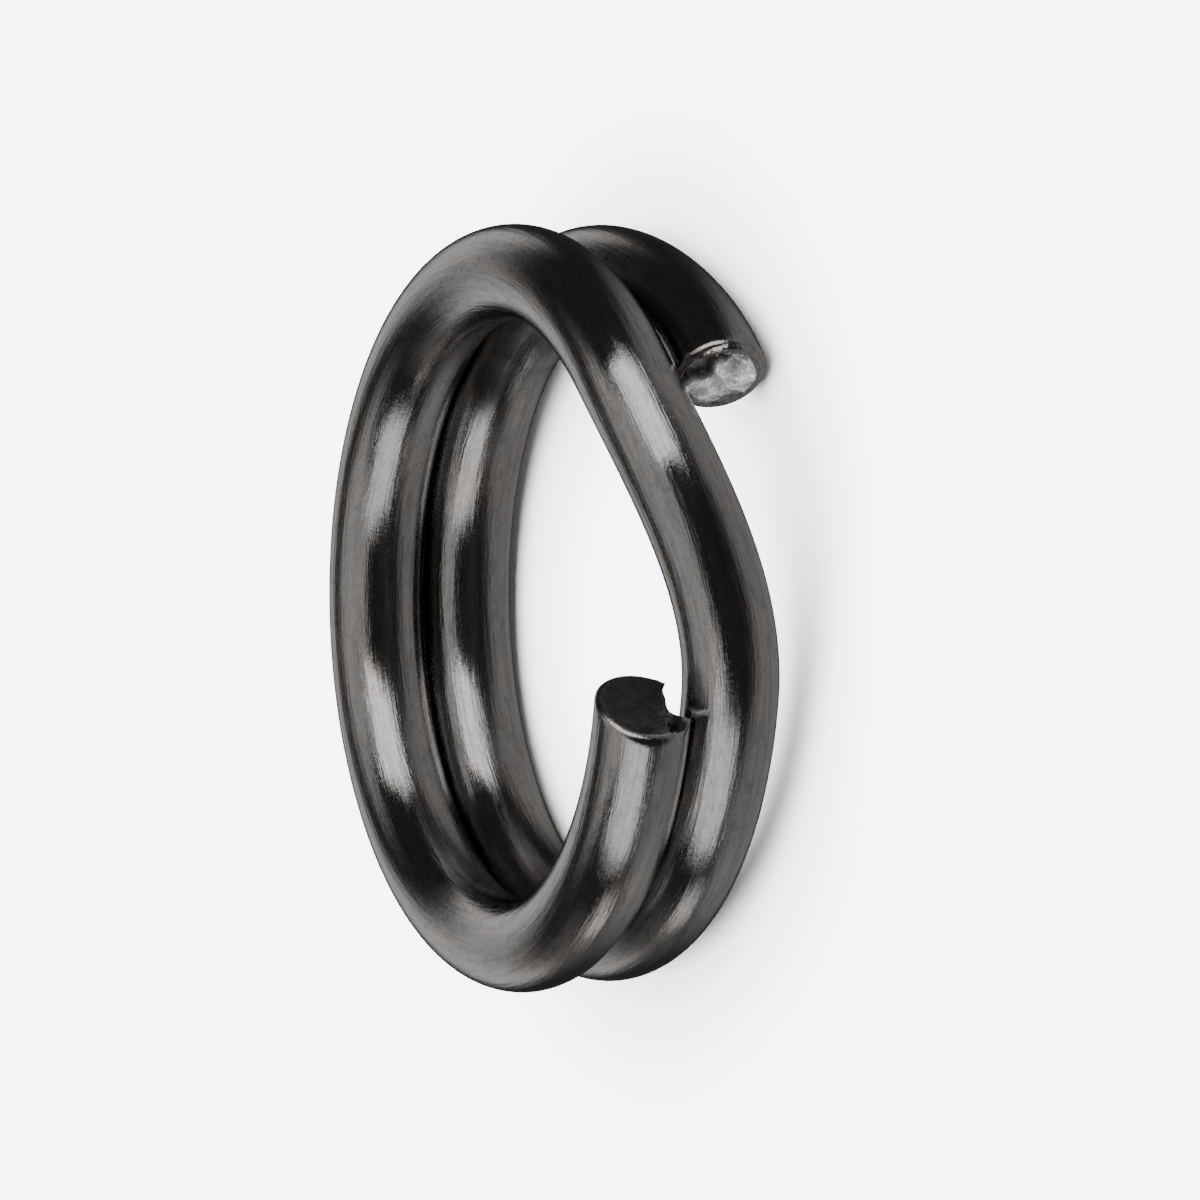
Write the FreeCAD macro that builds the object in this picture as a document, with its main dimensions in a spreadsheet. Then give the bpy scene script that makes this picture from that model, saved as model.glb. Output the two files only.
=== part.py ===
"""Split key ring: one round steel wire wound into a little under two turns.

The wire is one piece.  It is divided here at the square sections where it twists when
the ring is opened, so that each length can turn against the next about the wire's own
centre line.  Lengths along the wire are given as degrees of winding from the front end.
Millimetres, +Z up, ring lying flat on its rear turn, origin under the centre of the eye.
"""

import FreeCAD
import Part
import math
import os

SIZES = (
    # the wire and the two turns it makes
    ("wire_diameter", 1.5),
    ("front_turn_radius", 5.28),
    ("rear_turn_radius", 5.18),
    ("turn_pitch", 1.52),
    ("even_pitch", 0.516),
    ("winding_total", 662.0),
    ("front_end_bearing", -18.5),
    # where the wire crosses from the front turn to the rear turn
    ("crossing_start", 299.0),
    ("crossing_finish", 360.0),
    # the rear end stands off the front turn a little
    ("stand_off_arc", 80.0),
    ("stand_off", 0.40),
    # its last stretch is straighter than the turn and curls back a little
    ("straightening", 0.09),
    ("end_curl_arc", 45.0),
    ("end_curl", 0.24),
    # the tilt that lays the rear turn flat, and its bearing
    ("rest_tilt", 2.9),
    ("rest_bearing", 54.0),
    # the square sections where the wire twists
    ("flex_spacing", 90.0),
    # the marks of the shears on the two cut ends
    ("front_slant", 22.0),
    ("front_slant_bearing", -5.0),
    ("front_overrun", 8.0),
    ("nick_radius", 0.28),
    ("nick_centre", 0.57),
    ("nick_lean", 26.0),
    ("rear_step_centre", 0.95),
    ("rear_step_radius", 0.70),
    ("rear_step_depth", 0.12),
    ("rear_step_bearing", -40.0),
)
PATH_STEP = 12.0
FOLLOW_CURVE = True
CUTTER_SIZE = 4.0

UP = FreeCAD.Vector(0, 0, 1)

doc = FreeCAD.newDocument("split_key_ring")
sheet = doc.addObject("Spreadsheet::Sheet", "sizes")
for row, (name, value) in enumerate(SIZES, start=1):
    sheet.set(f"A{row}", name)
    sheet.set(f"B{row}", str(value))
    sheet.setAlias(f"B{row}", name)
doc.recompute()


def size(name):
    return float(sheet.get(name))


def eased(share):
    """A smooth step from 0 to 1, level at both ends."""
    return 0.5 - 0.5 * math.cos(math.pi * min(1.0, max(0.0, share)))


def drop(winding):
    """How far the wire's centre lies below its height at the front end."""
    crossing = size("crossing_finish") - size("crossing_start")
    crossed = eased((winding - size("crossing_start")) / crossing)
    bent = eased((winding - size("winding_total")) / size("stand_off_arc") + 1)
    jump = size("turn_pitch") - size("even_pitch")
    curled = max(0.0, (winding - size("winding_total")) / size("end_curl_arc") + 1) ** 2
    even = size("even_pitch") * winding / 360
    return even + jump * crossed + size("stand_off") * bent - size("end_curl") * curled


def centre(winding):
    """A point on the wire's centre line, before the ring is laid flat."""
    crossing = size("crossing_finish") - size("crossing_start")
    crossed = eased((winding - size("crossing_start")) / crossing)
    step = size("front_turn_radius") - size("rear_turn_radius")
    reach = (winding - size("winding_total")) / size("stand_off_arc") + 1
    wave = math.sin(2 * math.pi * min(1.0, max(0.0, reach)))
    radius = size("front_turn_radius") - step * crossed + size("straightening") * wave
    bearing = math.radians(size("front_end_bearing") - winding)
    return FreeCAD.Vector(
        radius * math.cos(bearing), radius * math.sin(bearing), -drop(winding)
    )


def heading(winding):
    """The direction of the centre line, towards the front end."""
    return (centre(winding - 0.01) - centre(winding + 0.01)).normalize()


def lay_flat():
    """The move that tilts the ring to rest on its rear turn, at height zero."""
    bearing = math.radians(size("rest_bearing"))
    axis = FreeCAD.Vector(-math.sin(bearing), math.cos(bearing), 0)
    tilt = FreeCAD.Placement(FreeCAD.Vector(), FreeCAD.Rotation(axis, -size("rest_tilt")))
    windings = range(int(size("crossing_finish")), int(size("winding_total")) + 1)
    lowest = min(tilt.multVec(centre(w)).z for w in windings)
    lift = size("wire_diameter") / 2 - lowest
    return FreeCAD.Placement(UP * lift, tilt.Rotation)


FLAT = lay_flat()


def across(winding):
    """A frame on the wire: Z along it, X towards the ring's outside as near as can be."""
    along = heading(winding)
    outward = FreeCAD.Vector(centre(winding).x, centre(winding).y, 0).normalize()
    turn = FreeCAD.Rotation(outward, FreeCAD.Vector(), along, "ZXY")
    return FLAT * FreeCAD.Placement(centre(winding), turn)


def even_length(label, start, finish, radius_name):
    """An evenly wound length of wire between two windings of the same turn."""
    spine = doc.addObject("Part::Helix", label + "_spine")
    spine.setExpression("Radius", f"sizes.{radius_name}")
    spine.setExpression("Pitch", "sizes.even_pitch")
    spine.setExpression("Height", f"sizes.even_pitch * {(finish - start) / 360}")
    spin = FreeCAD.Rotation(UP, size("front_end_bearing") - finish)
    spine.Placement = FLAT * FreeCAD.Placement(UP * -drop(finish), spin)
    round_section = doc.addObject("Part::Circle", label + "_section")
    round_section.setExpression("Radius", "sizes.wire_diameter / 2")
    round_section.Placement = across(finish)
    wire = doc.addObject("Part::Sweep", label)
    wire.Sections = [round_section]
    wire.Spine = (spine, ["Edge1"])
    wire.Solid = True
    wire.Frenet = True
    return wire


def shaped_length(label, start, finish):
    """A length of wire that leaves the even winding: a round section along a curve."""
    steps = round((finish - start) / PATH_STEP)
    gap = (finish - start) / steps
    windings = [finish - gap * i for i in range(-2, steps + 3)]
    curve = Part.BSplineCurve()
    curve.interpolate(Points=[centre(w) for w in windings])
    first, last = (curve.parameter(centre(w)) for w in (finish, start))
    spine = Part.Wire(curve.toShape(first, last))
    section = Part.Wire(
        Part.makeCircle(size("wire_diameter") / 2, centre(finish), heading(finish))
    )
    wire = doc.addObject("Part::Feature", label)
    wire.Shape = spine.makePipeShell([section], True, FOLLOW_CURVE)
    wire.Placement = FLAT
    return wire


def cut_by(label, wire, tools):
    """The wire with the cutting tools taken from it."""
    joined = tools[0]
    if len(tools) > 1:
        joined = doc.addObject("Part::MultiFuse", label + "_tools")
        joined.Shapes = tools
    cut = doc.addObject("Part::Cut", label)
    cut.Base = wire
    cut.Tool = joined
    return cut


flex = size("flex_spacing")
total = size("winding_total")
rear_flex = total - flex
half_cutter = CUTTER_SIZE / 2

# the front end: cut at a slant, with a nick from the shears on its lower side
front_end = across(0)
front_wire = even_length(
    "front_end_wire", -size("front_overrun"), flex, "front_turn_radius"
)
slant = doc.addObject("Part::Box", "front_slant")
slant.Length = CUTTER_SIZE
slant.Width = CUTTER_SIZE
slant.Height = CUTTER_SIZE
slant_turn = FreeCAD.Rotation(UP, size("front_slant_bearing")).multiply(
    FreeCAD.Rotation(FreeCAD.Vector(0, 1, 0), size("front_slant"))
)
slant_corner = FreeCAD.Vector(-half_cutter, -half_cutter, 0)
slant.Placement = (
    front_end
    * FreeCAD.Placement(FreeCAD.Vector(), slant_turn)
    * FreeCAD.Placement(slant_corner, FreeCAD.Rotation())
)
nick = doc.addObject("Part::Cylinder", "front_nick")
nick.setExpression("Radius", "sizes.nick_radius")
nick.Height = CUTTER_SIZE
nick_lean = FreeCAD.Rotation(UP, -size("nick_lean"))
nick_across = FreeCAD.Rotation(FreeCAD.Vector(0, 1, 0), 90)
nick_start = FreeCAD.Vector(-half_cutter, size("nick_centre"), 0)
nick.Placement = (
    front_end
    * FreeCAD.Placement(FreeCAD.Vector(), nick_lean)
    * FreeCAD.Placement(nick_start, nick_across)
)
cut_by("front_free_end", front_wire, [slant, nick])

# the rear end: cut square, with a shallow step where the shears pressed in
rear_end = across(total)
rear_wire = shaped_length("rear_end_wire", rear_flex, total)
step = doc.addObject("Part::Cylinder", "rear_step")
step.setExpression("Radius", "sizes.rear_step_radius")
step.setExpression("Height", "sizes.rear_step_depth * 2")
step_centre = FreeCAD.Vector(size("rear_step_centre"), 0, -size("rear_step_depth"))
step_turn = FreeCAD.Rotation(UP, size("rear_step_bearing"))
step.Placement = (
    rear_end
    * FreeCAD.Placement(FreeCAD.Vector(), step_turn)
    * FreeCAD.Placement(step_centre, FreeCAD.Rotation())
)
cut_by("rear_free_end", rear_wire, [step])

# the plain lengths between the flexing sections
even_length("front_lower_arc", flex, 2 * flex, "front_turn_radius")
even_length("front_upper_arc", 2 * flex, 3 * flex, "front_turn_radius")
shaped_length("crossover", 3 * flex, total - 3 * flex)
even_length("rear_lower_arc", total - 3 * flex, total - 2 * flex, "rear_turn_radius")
even_length("rear_upper_arc", total - 2 * flex, rear_flex, "rear_turn_radius")

PARTS = (
    "front_free_end",
    "front_lower_arc",
    "front_upper_arc",
    "crossover",
    "rear_lower_arc",
    "rear_upper_arc",
    "rear_free_end",
)

doc.recompute()
for item in doc.Objects:
    if "Invalid" in item.State or "Error" in item.State:
        raise RuntimeError(f"{item.Label} did not build: {item.State}")
for name in PARTS:
    shape = doc.getObject(name).Shape
    if shape.isNull() or not shape.isValid() or len(shape.Solids) != 1:
        raise RuntimeError(f"{name} is not one sound solid")

os.makedirs("parts", exist_ok=True)
for name in PARTS:
    doc.getObject(name).Shape.exportStep(f"parts/{name}.step")
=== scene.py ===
"""Split key ring in black nickel, lying on its rear turn in a pale studio.

The wire is swept in millimetres from the same sizes as part.py and then scaled to metres.
Lengths along the wire are given as degrees of winding from the front end.
"""

import math

import bpy
import numpy as np
from mathutils import Matrix, Vector


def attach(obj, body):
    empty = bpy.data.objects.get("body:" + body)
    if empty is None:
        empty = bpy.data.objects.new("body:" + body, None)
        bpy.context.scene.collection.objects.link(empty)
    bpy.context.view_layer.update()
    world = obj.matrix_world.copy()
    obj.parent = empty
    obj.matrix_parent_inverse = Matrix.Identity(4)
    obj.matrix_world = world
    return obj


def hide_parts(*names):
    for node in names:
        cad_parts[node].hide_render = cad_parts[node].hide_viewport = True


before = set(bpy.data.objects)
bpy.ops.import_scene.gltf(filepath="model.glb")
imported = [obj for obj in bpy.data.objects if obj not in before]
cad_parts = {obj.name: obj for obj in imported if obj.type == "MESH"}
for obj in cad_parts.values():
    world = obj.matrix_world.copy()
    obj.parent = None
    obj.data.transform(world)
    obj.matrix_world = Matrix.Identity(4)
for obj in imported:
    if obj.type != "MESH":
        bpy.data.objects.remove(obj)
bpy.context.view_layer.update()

MM = 0.001

# the wire and the two turns it makes, as in part.py
WIRE_RADIUS = 0.75
FRONT_RADIUS = 5.28
REAR_RADIUS = 5.18
TURN_PITCH = 1.52
EVEN_PITCH = 0.516
TOTAL = 662.0
FRONT_BEARING = -18.5
CROSSING = (299.0, 360.0)
STAND_OFF_ARC = 80.0
STAND_OFF = 0.40
STRAIGHTENING = 0.09
END_CURL_ARC = 45.0
END_CURL = 0.24
REST_TILT = 2.9
REST_BEARING = 54.0
FLEX = 90.0

# the front end: a slanted shear with a nick
FRONT_SLANT = math.radians(22.0)
FRONT_SLANT_BEARING = math.radians(-5.0)
NICK_RADIUS = 0.28
NICK_CENTRE = 0.57
NICK_LEAN = math.radians(26.0)
FRONT_HOLLOW = 0.05
FRONT_HOLLOW_RADIUS = 0.66
FRONT_GRAIN = 0.006
FRONT_FACE_RADIUS = 0.62
FRONT_FACE_BLEND = 0.06
FRONT_RIM_ROUND = 0.08

# the rear end: a pressed crescent, then torn metal
REAR_LEAN = 0.10
REAR_SET_BACK = 0.04
REAR_FACE_RADIUS = 0.555
REAR_FACE_RISE = 0.03
REAR_RIM_ROUND = 0.13
PRESSED_BEARING = math.radians(-40.0)
PRESSED_EDGE = 0.20
PRESSED_DEPTH = 0.18
LUMP_HEIGHT = 0.17
REAR_GRAIN = 0.015
RIM_BLEND = 0.05

# how finely the wire and its cut faces are meshed
AROUND = 160
ALONG_STEP = 0.6
CAP_RINGS = 44
SHARP_ANGLE = math.radians(48.0)
NICK_SIDES = 40
NICK_REACH = 1.2


def eased(share):
    """A smooth step from 0 to 1, level at both ends."""
    return 0.5 - 0.5 * np.cos(np.pi * np.clip(share, 0.0, 1.0))


def flat_centre(winding):
    """Points on the wire's centre line, before the ring is laid flat."""
    crossed = eased((winding - CROSSING[0]) / (CROSSING[1] - CROSSING[0]))
    bent = eased((winding - TOTAL) / STAND_OFF_ARC + 1.0)
    reach = np.clip((winding - TOTAL) / STAND_OFF_ARC + 1.0, 0.0, 1.0)
    curled = np.maximum(0.0, (winding - TOTAL) / END_CURL_ARC + 1.0) ** 2
    radius = FRONT_RADIUS - (FRONT_RADIUS - REAR_RADIUS) * crossed
    radius = radius + STRAIGHTENING * np.sin(2.0 * np.pi * reach)
    bearing = np.radians(FRONT_BEARING - winding)
    drop = EVEN_PITCH * winding / 360.0 + (TURN_PITCH - EVEN_PITCH) * crossed
    height = END_CURL * curled - drop - STAND_OFF * bent
    return np.stack([radius * np.cos(bearing), radius * np.sin(bearing), height], -1)


def unit(vectors):
    return vectors / np.linalg.norm(vectors, axis=-1, keepdims=True)


def resting():
    """The turn and the lift that lay the rear turn flat at height zero."""
    bearing = math.radians(REST_BEARING)
    axis = Vector((-math.sin(bearing), math.cos(bearing), 0.0))
    turn = np.array(Matrix.Rotation(-math.radians(REST_TILT), 3, axis))
    rear = np.arange(int(CROSSING[1]), int(TOTAL) + 1).astype(float)
    lowest = (flat_centre(rear) @ turn.T)[:, 2].min()
    return turn, np.array([0.0, 0.0, WIRE_RADIUS - lowest])


TURN, LIFT = resting()


def wire_frame(winding):
    """Centre, outward, downward and forward directions on the wire at each winding."""
    centre = flat_centre(winding)
    forward = unit(flat_centre(winding - 0.01) - flat_centre(winding + 0.01))
    outward = unit(centre * [1.0, 1.0, 0.0])
    outward = unit(outward - (outward * forward).sum(-1, keepdims=True) * forward)
    down = np.cross(forward, outward)
    return centre @ TURN.T + LIFT, outward @ TURN.T, down @ TURN.T, forward @ TURN.T


def on_wire(winding, x, y):
    """The point x outward and y down from the centre line at each winding."""
    centre, outward, down, _ = wire_frame(winding)
    return centre + x[..., None] * outward + y[..., None] * down


def ripple(x, y, seed, scale):
    """A smooth pseudo-random height between -1 and 1, made of six crossed waves."""
    total = np.zeros_like(x)
    largest = 2.45  # 1 + 1/2 + ... + 1/6
    for k in range(1, 7):
        angle = seed * 1.7 + k * 2.4
        wave = scale * (0.6 + 0.35 * k)
        phase = seed * 3.1 + k * k
        total += np.sin(wave * (x * math.cos(angle) + y * math.sin(angle)) + phase) / k
    return total / largest


def rim_round(x, y, width):
    """How far the cut's edge is rounded down at x, y."""
    inside = WIRE_RADIUS - np.hypot(x, y)
    share = np.clip(1.0 - inside / width, 0.0, 1.0)
    return width * (1.0 - np.sqrt(np.clip(1.0 - share**2, 0.0, 1.0)))


def front_cut(x, y):
    """Height of the front end's face: a slanted shear, slightly hollow."""
    from_middle = np.hypot(x, y) / FRONT_HOLLOW_RADIUS
    hollow = FRONT_HOLLOW * np.clip(1.0 - from_middle**2, 0.0, 1.0)
    lean = x * math.cos(FRONT_SLANT_BEARING) + y * math.sin(FRONT_SLANT_BEARING)
    slope = -lean * math.tan(FRONT_SLANT)
    grain = FRONT_GRAIN * ripple(x, y, 1.0, 9.0)
    return slope - hollow - rim_round(x, y, FRONT_RIM_ROUND) + grain


def front_bare(x, y):
    """1 on the front end's sheared face, 0 at its rounded rim."""
    return 1.0 - eased((np.hypot(x, y) - FRONT_FACE_RADIUS) / FRONT_FACE_BLEND)


def rear_inside(x, y):
    """1 over the rear end's torn or pressed face, 0 on its rounded rim."""
    from_middle = np.hypot(x, y + REAR_FACE_RISE)
    return 1.0 - eased((from_middle - REAR_FACE_RADIUS) / RIM_BLEND)


def torn_share(x, y):
    """1 where the rear end tore off, 0 on the pressed crescent and near the rim."""
    towards = x * math.cos(PRESSED_BEARING) + y * math.sin(PRESSED_BEARING)
    beside = y * math.cos(PRESSED_BEARING) - x * math.sin(PRESSED_BEARING)
    edge = PRESSED_EDGE + 0.06 * np.sin(6.0 * beside) + 0.05 * np.sin(13.0 * beside + 1.0)
    return (1.0 - eased((towards - edge) / RIM_BLEND + 0.5)) * rear_inside(x, y)


def rear_cut(x, y):
    """Height of the rear end's face: a pressed crescent, then lumpy torn metal."""
    torn = torn_share(x, y)
    lumps = LUMP_HEIGHT * ripple(x, y, 4.0, 6.2) + REAR_GRAIN * ripple(x, y, 7.0, 20.0)
    pressed = PRESSED_DEPTH * (1.0 - torn) * rear_inside(x, y)
    flat = REAR_LEAN * x - REAR_SET_BACK
    return flat + lumps * torn - pressed - rim_round(x, y, REAR_RIM_ROUND)


def cap_grid(cut):
    """Polar points x, y and heights over a cut face, from the rim to the centre."""
    angles = np.linspace(0.0, 2.0 * np.pi, AROUND, endpoint=False)
    share = np.linspace(0.0, 1.0, CAP_RINGS + 1)[:-1]
    radii = WIRE_RADIUS * (1.0 - share**1.25)
    x = radii[:, None] * np.cos(angles)
    y = radii[:, None] * np.sin(angles)
    return x, y, cut(x, y)


def stitch(faces, first, second):
    """Quads between two rings of point numbers."""
    for j in range(AROUND):
        n = (j + 1) % AROUND
        faces.append((first[j], first[n], second[n], second[j]))


def wire_piece(name, start, finish, front, rear, bare):
    """A closed length of wire; front and rear are cut-face heights, or None if flat."""
    angles = np.linspace(0.0, 2.0 * np.pi, AROUND, endpoint=False)
    x, y = WIRE_RADIUS * np.cos(angles), WIRE_RADIUS * np.sin(angles)
    steps = max(8, round((finish - start) / ALONG_STEP))
    share = np.linspace(0.0, 1.0, steps + 1)[:, None]
    first = np.full(AROUND, start)
    last = np.full(AROUND, finish)
    if front:
        first = start - np.degrees(front(x, y) / FRONT_RADIUS)
    if rear:
        last = finish + np.degrees(rear(x, y) / REAR_RADIUS)
    windings = first + (last - first) * share
    points = [on_wire(windings, np.tile(x, (steps + 1, 1)), np.tile(y, (steps + 1, 1)))]
    along = [windings]
    section = [np.stack([np.tile(x, steps + 1), np.tile(y, steps + 1)])]
    faces = []
    rings = np.arange((steps + 1) * AROUND).reshape(-1, AROUND)
    for i in range(steps):
        stitch(faces, rings[i], rings[i + 1])
    side_points = count = rings.size
    # sign is -1 at the front end and 1 at the rear end
    for cut, winding, radius, sign, rim in (
        (front, start, FRONT_RADIUS, -1.0, rings[0]),
        (rear, finish, REAR_RADIUS, 1.0, rings[-1]),
    ):
        if cut:
            gx, gy, height = cap_grid(cut)
            spots = winding + sign * np.degrees(height / radius)
            middle = winding + sign * np.degrees(cut(np.zeros(1), np.zeros(1)) / radius)
        else:
            gx, gy, spots = x[None, :], y[None, :], np.full((1, AROUND), winding)
            middle = np.full(1, winding)
        before = rim
        for k in range(1, len(gx)):
            points.append(on_wire(spots[k], gx[k], gy[k])[None])
            along.append(spots[k][None])
            section.append(np.stack([gx[k], gy[k]]))
            ring = count + np.arange(AROUND)
            count += AROUND
            pair = (ring, before) if sign < 0 else (before, ring)
            stitch(faces, *pair)
            before = ring
        points.append(on_wire(middle, np.zeros(1), np.zeros(1))[None])
        along.append(np.full((1, 1), middle[0]))
        section.append(np.zeros((2, 1)))
        for j in range(AROUND):
            n = (j + 1) % AROUND
            tri = (before[j], before[n], count)
            faces.append(tri[::-1] if sign < 0 else tri)
        count += 1
    verts = np.concatenate([p.reshape(-1, 3) for p in points]) * MM
    mesh = bpy.data.meshes.new(name)
    mesh.from_pydata(verts.tolist(), [], [tuple(int(v) for v in f) for f in faces])
    lengths = np.concatenate([a.reshape(-1) for a in along])
    across, down = np.concatenate(section, axis=1)
    shown = bare(across, down)
    shown[:side_points] = 0.0
    paint_coordinates(mesh, lengths, across, down, shown)
    mesh.shade_smooth()
    return mesh


def paint_coordinates(mesh, lengths, across, down, bare):
    """Stores length along the wire, place in its section and how bare the cut is."""
    values = {
        "along": np.radians(lengths) * FRONT_RADIUS,
        "ring_x": across / WIRE_RADIUS,
        "ring_y": down / WIRE_RADIUS,
        "cut_face": bare,
    }
    for name, numbers in values.items():
        layer = mesh.attributes.new(name, "FLOAT", "POINT")
        layer.data.foreach_set("value", numbers)


def nicked(mesh):
    """The mesh with the shears' nick taken out of its front end."""
    centre, outward, down, forward = (Vector(v[0]) for v in wire_frame(np.zeros(1)))
    across = outward * math.cos(NICK_LEAN) - down * math.sin(NICK_LEAN)
    aside = outward * math.sin(NICK_LEAN) + down * math.cos(NICK_LEAN)
    middle = centre + aside * NICK_CENTRE
    sides = NICK_SIDES
    verts, faces = [], []
    for reach in (-NICK_REACH, NICK_REACH):
        for k in range(sides):
            angle = 2.0 * math.pi * k / sides
            wobble = 1.0 + 0.08 * math.sin(3.0 * angle + 0.6) + 0.05 * math.sin(5.0 * angle)
            spoke = aside * math.cos(angle) + forward * math.sin(angle)
            verts.append((middle + spoke * NICK_RADIUS * wobble + across * reach) * MM)
    for k in range(sides):
        n = (k + 1) % sides
        faces.append((k, n, n + sides, k + sides))
    faces.append(tuple(reversed(range(sides))))
    faces.append(tuple(range(sides, 2 * sides)))
    cutter_mesh = bpy.data.meshes.new("nick")
    cutter_mesh.from_pydata(verts, [], faces)
    for name in ("along", "ring_x", "ring_y", "cut_face"):
        layer = cutter_mesh.attributes.new(name, "FLOAT", "POINT")
        layer.data.foreach_set("value", [1.0] * len(verts))
    base = bpy.data.objects.new("nick_base", mesh)
    cutter = bpy.data.objects.new("nick_cutter", cutter_mesh)
    for item in (base, cutter):
        bpy.context.scene.collection.objects.link(item)
    change = base.modifiers.new("nick", "BOOLEAN")
    change.operation = "DIFFERENCE"
    change.solver = "EXACT"
    change.object = cutter
    bpy.context.view_layer.update()
    done = base.evaluated_get(bpy.context.evaluated_depsgraph_get())
    result = bpy.data.meshes.new_from_object(done)
    for item in (base, cutter):
        bpy.data.objects.remove(item)
    return result


class Nodes:
    """A short way to build a node tree."""

    def __init__(self, tree):
        self.tree = tree
        tree.nodes.clear()

    def feed(self, socket, value):
        """Links a node's output to the socket, or sets the socket to a plain value."""
        if isinstance(value, bpy.types.NodeSocket):
            self.tree.links.new(value, socket)
        else:
            socket.default_value = value

    def add(self, kind, settings=None, **inputs):
        node = self.tree.nodes.new(kind)
        for key, value in (settings or {}).items():
            setattr(node, key, value)
        for key, value in inputs.items():
            self.feed(node.inputs[key.replace("_", " ")], value)
        return node

    def math(self, operation, *values):
        node = self.add("ShaderNodeMath", {"operation": operation})
        for socket, value in zip(node.inputs, values, strict=False):
            self.feed(socket, value)
        return node.outputs[0]

    def total(self, *values):
        """The sum of two or more values."""
        result = values[0]
        for value in values[1:]:
            result = self.math("ADD", result, value)
        return result

    def stretch(self, value, low, high, to_low, to_high):
        node = self.add(
            "ShaderNodeMapRange",
            {"interpolation_type": "SMOOTHSTEP"},
            Value=value,
            From_Min=low,
            From_Max=high,
            To_Min=to_low,
            To_Max=to_high,
        )
        return node.outputs["Result"]

    def mix_colour(self, share, first, second):
        node = self.add("ShaderNodeMix", {"data_type": "RGBA"})
        colour_sockets = (node.inputs[0], node.inputs[6], node.inputs[7])
        for socket, value in zip(colour_sockets, (share, first, second), strict=True):
            self.feed(socket, value)
        return node.outputs[2]

    def attribute(self, name):
        node = self.add("ShaderNodeAttribute", {"attribute_name": name})
        return node.outputs["Fac"]


# how deep the drawn lines look, in metres
LINE_DEPTH = 0.000009


def wire_material(name, cut_colour, dull_colour, cut_roughness, cut_matte):
    """Black nickel over drawn wire; the cut face is patched in two colours."""
    material = bpy.data.materials.new(name)
    material.use_nodes = True
    n = Nodes(material.node_tree)
    along = n.attribute("along")
    ring_x, ring_y = n.attribute("ring_x"), n.attribute("ring_y")

    def spot(lengthways, crossways):
        return n.add(
            "ShaderNodeCombineXYZ",
            X=n.math("MULTIPLY", along, lengthways),
            Y=n.math("MULTIPLY", ring_x, crossways),
            Z=n.math("MULTIPLY", ring_y, crossways),
        ).outputs[0]

    def noise(place, detail, rough=0.6):
        return n.add(
            "ShaderNodeTexNoise", Vector=place, Scale=1.0, Detail=detail, Roughness=rough
        ).outputs[0]

    lines = noise(spot(0.8, 9.0), 6.0)
    short_lines = noise(spot(3.0, 20.0), 4.0)
    speckle = noise(spot(14.0, 11.0), 4.0, 0.7)
    blotch = noise(spot(0.9, 1.6), 3.0)
    tint = noise(spot(0.45, 2.6), 2.0)

    black = (0.36, 0.357, 0.358, 1.0)
    warm = (0.40, 0.375, 0.355, 1.0)
    plate = n.mix_colour(n.stretch(tint, 0.46, 0.62, 0.0, 1.0), black, warm)
    wear = n.total(lines, n.math("MULTIPLY", speckle, 0.5))
    worn = n.stretch(wear, 0.62, 0.9, 0.0, 0.35)
    plate = n.mix_colour(worn, plate, (0.17, 0.165, 0.16, 1.0))
    mottle = n.stretch(noise(spot(3.2, 5.5), 5.0, 0.7), 0.50, 0.64, 0.0, 0.5)
    plate = n.mix_colour(mottle, plate, (0.21, 0.205, 0.20, 1.0))
    cut_face = n.attribute("cut_face")
    grain = n.stretch(noise(spot(0.0, 3.2), 3.0), 0.42, 0.56, 0.0, 0.75)
    colour = n.mix_colour(cut_face, plate, n.mix_colour(grain, cut_colour, dull_colour))
    rough = n.total(
        n.stretch(lines, 0.3, 0.7, 0.05, 0.11),
        n.stretch(blotch, 0.35, 0.7, 0.0, 0.04),
        n.stretch(speckle, 0.5, 0.75, 0.0, 0.06),
        n.math("MULTIPLY", cut_face, cut_roughness),
    )
    height = n.total(
        lines, n.math("MULTIPLY", short_lines, 0.3), n.math("MULTIPLY", speckle, 0.2)
    )
    bump = n.add("ShaderNodeBump", Strength=1.0, Distance=LINE_DEPTH, Height=height)
    shader = n.add(
        "ShaderNodeBsdfPrincipled",
        Base_Color=colour,
        Metallic=n.math("SUBTRACT", 1.0, n.math("MULTIPLY", cut_face, cut_matte)),
        Roughness=rough,
        Normal=bump.outputs[0],
    )
    n.add("ShaderNodeOutputMaterial", Surface=shader.outputs[0])
    return material


sheared, sheared_dull = (0.17, 0.168, 0.17, 1.0), (0.13, 0.128, 0.13, 1.0)
torn, torn_dull = (0.95, 0.94, 0.93, 1.0), (0.34, 0.33, 0.33, 1.0)
wire_skin = wire_material("black_nickel", sheared, sheared_dull, 0.22, 0.0)
torn_skin = wire_material("black_nickel_torn_end", torn, torn_dull, 0.14, 0.16)

PIECES = (
    ("front_free_end", 0.0, FLEX),
    ("front_lower_arc", FLEX, 2 * FLEX),
    ("front_upper_arc", 2 * FLEX, 3 * FLEX),
    ("crossover", 3 * FLEX, TOTAL - 3 * FLEX),
    ("rear_lower_arc", TOTAL - 3 * FLEX, TOTAL - 2 * FLEX),
    ("rear_upper_arc", TOTAL - 2 * FLEX, TOTAL - FLEX),
    ("rear_free_end", TOTAL - FLEX, TOTAL),
)

for node, start, finish in PIECES:
    front = front_cut if node == "front_free_end" else None
    rear = rear_cut if node == "rear_free_end" else None
    bare = front_bare if front else torn_share
    mesh = wire_piece(node + "_wire", start, finish, front, rear, bare)
    if front:
        mesh = nicked(mesh)
    mesh.set_sharp_from_angle(angle=SHARP_ANGLE)
    mesh.materials.clear()
    mesh.materials.append(torn_skin if rear else wire_skin)
    piece = bpy.data.objects.new(node + "_wire", mesh)
    bpy.context.scene.collection.objects.link(piece)
    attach(piece, node)
    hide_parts(node)

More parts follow.
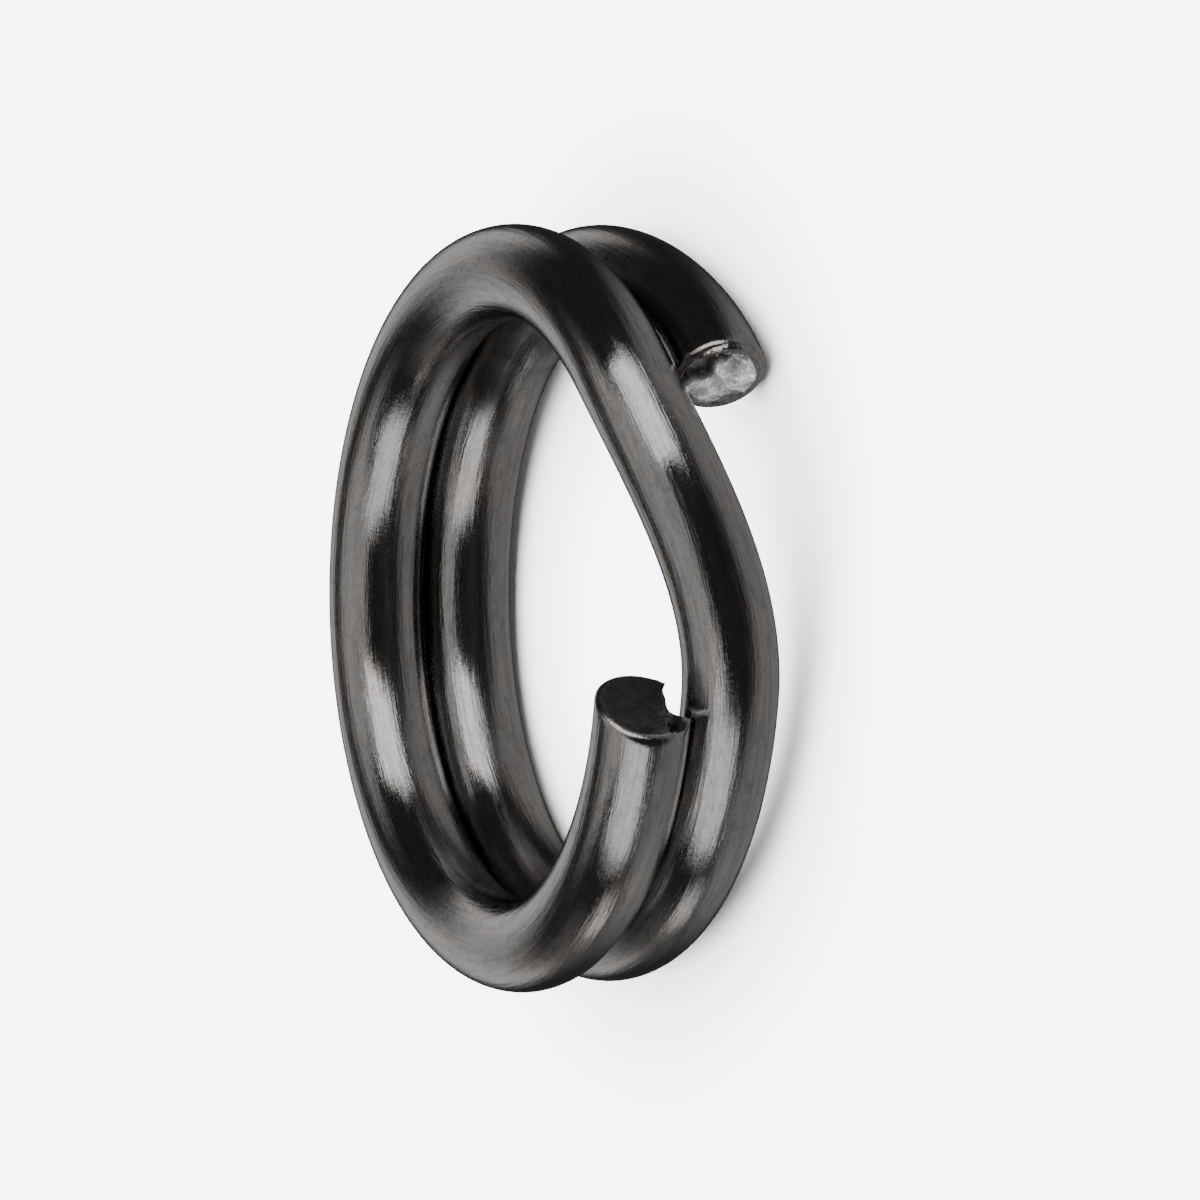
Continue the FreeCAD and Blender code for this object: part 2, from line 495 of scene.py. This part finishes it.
# the studio: a pale floor, soft boxes, and dark all round the camera
FLOOR_REACH = 3.0
corners = [(x * FLOOR_REACH, y * FLOOR_REACH, 0) for x, y in ((-1, -1), (1, -1), (1, 1), (-1, 1))]
floor_mesh = bpy.data.meshes.new("floor")
floor_mesh.from_pydata(corners, [], [(0, 1, 2, 3)])
floor = bpy.data.objects.new("floor", floor_mesh)
bpy.context.scene.collection.objects.link(floor)
floor_skin = bpy.data.materials.new("pale_floor")
floor_skin.use_nodes = True
floor_shader = floor_skin.node_tree.nodes["Principled BSDF"]
floor_shader.inputs["Base Color"].default_value = (0.93, 0.93, 0.93, 1.0)
floor_shader.inputs["Roughness"].default_value = 0.9
floor_shader.inputs["Specular IOR Level"].default_value = 0.0
floor_mesh.materials.append(floor_skin)
floor.visible_glossy = False

CAMERA_AT = Vector((0.13855, -0.00656, 0.07174))
CAMERA_AZIMUTH = math.radians(87.228)
CAMERA_ELEVATION = math.radians(27.044)
CAMERA_ROLL = math.radians(-89.64)
CAMERA_LENS = 296.365

toward = Vector(
    (
        math.sin(CAMERA_AZIMUTH) * math.cos(CAMERA_ELEVATION),
        -math.cos(CAMERA_AZIMUTH) * math.cos(CAMERA_ELEVATION),
        math.sin(CAMERA_ELEVATION),
    )
)
level = Vector((math.cos(CAMERA_AZIMUTH), math.sin(CAMERA_AZIMUTH), 0.0))
upward = toward.cross(level)
right = level * math.cos(CAMERA_ROLL) + upward * math.sin(CAMERA_ROLL)
top = toward.cross(right)

camera_data = bpy.data.cameras.new("camera")
camera_data.lens = CAMERA_LENS
camera_data.sensor_width = 36.0
camera_data.clip_start = 0.01
camera_data.clip_end = 10.0
camera = bpy.data.objects.new("camera", camera_data)
bpy.context.scene.collection.objects.link(camera)
camera.location = CAMERA_AT
camera.rotation_mode = "QUATERNION"
camera.rotation_quaternion = Matrix((right, top, toward)).transposed().to_quaternion()
bpy.context.scene.camera = camera

# the soft boxes face the middle of the ring
CENTRE = Vector((0.0, 0.0, 0.0018))


def studio_direction(from_axis, across, rise):
    """A direction from_axis degrees off the camera side, towards (across, rise)."""
    aside = (right * across + top * rise).normalized()
    angle = math.radians(from_axis)
    return (toward * math.cos(angle) + aside * math.sin(angle)).normalized()


def soft_box(name, direction, distance, size, radiance, spin=0.0, glossy=True):
    """A rectangular light that faces the ring, given by how bright its surface looks."""
    width, height = size
    data = bpy.data.lights.new(name, "AREA")
    data.shape = "RECTANGLE"
    data.size, data.size_y = width, height
    data.energy = radiance * math.pi * width * height
    light = bpy.data.objects.new(name, data)
    bpy.context.scene.collection.objects.link(light)
    light.location = CENTRE + direction * distance
    flat = top.cross(direction).normalized()
    steep = direction.cross(flat)
    side = flat * math.cos(math.radians(spin)) + steep * math.sin(math.radians(spin))
    over = direction.cross(side)
    light.rotation_mode = "QUATERNION"
    light.rotation_quaternion = Matrix((side, over, direction)).transposed().to_quaternion()
    light.visible_camera = False
    light.visible_glossy = glossy


upper = studio_direction(46.0, -0.28, 0.96)
lower = studio_direction(54.5, -0.20, -0.98)
lowest = studio_direction(101.0, -0.03, -1.0)
overhead = Vector((0.0, 0.0, 1.0))
soft_box("upper_box", upper, 0.5, (0.52, 0.38), radiance=2.3, spin=32.0)
soft_box("lower_box", lower, 0.5, (0.50, 0.38), radiance=1.5, spin=-30.0)
soft_box("low_box", lowest, 0.5, (0.15, 0.15), radiance=1.1)
soft_box("floor_light", overhead, 1.2, (2.4, 2.4), radiance=13.0, glossy=False)

world = bpy.data.worlds.new("studio")
bpy.context.scene.world = world
world.use_nodes = True
w = Nodes(world.node_tree)
ray = w.add("ShaderNodeTexCoord").outputs["Generated"]


def facing(direction, low, high):
    """0 to 1 as a ray's cosine with a fixed direction goes from low to high."""
    node = w.add("ShaderNodeVectorMath", {"operation": "DOT_PRODUCT"})
    w.tree.links.new(ray, node.inputs[0])
    node.inputs[1].default_value = direction
    return w.stretch(node.outputs["Value"], low, high, 0.0, 1.0)


def panel(radiance, *sides):
    """A patch of light bounded by soft straight or round edges."""
    share = sides[0]
    for side in sides[1:]:
        share = w.math("MULTIPLY", share, side)
    return w.math("MULTIPLY", share, radiance)


left_wall = panel(
    0.56,
    facing(-right, 0.34, 0.46),
    facing(toward, -0.30, 0.10),
    facing(top, -0.62, -0.46),
    facing(-top, -0.50, -0.36),
)
right_wall = panel(
    0.30, facing(right, 0.12, 0.52), facing(-toward, -0.62, -0.20), facing(toward, -0.97, -0.87)
)
back_wall = panel(
    0.75, facing(-toward, 0.44, 0.74), facing(-right, 0.12, 0.34), facing(toward, -0.96, -0.84)
)
low_glow = panel(0.14, facing(-top, 0.55, 0.9), facing(-toward, 0.0, 0.3))
DARKEST = 0.035
WARMTH = (1.0, 0.99, 0.985)
light = w.total(left_wall, right_wall, back_wall, low_glow, DARKEST)
background = w.add("ShaderNodeBackground", Strength=1.0)
grey = w.add("ShaderNodeCombineColor")
for channel, share in zip(grey.inputs, WARMTH, strict=True):
    w.tree.links.new(w.math("MULTIPLY", light, share), channel)
w.tree.links.new(grey.outputs[0], background.inputs["Color"])
w.add("ShaderNodeOutputWorld", Surface=background.outputs[0])
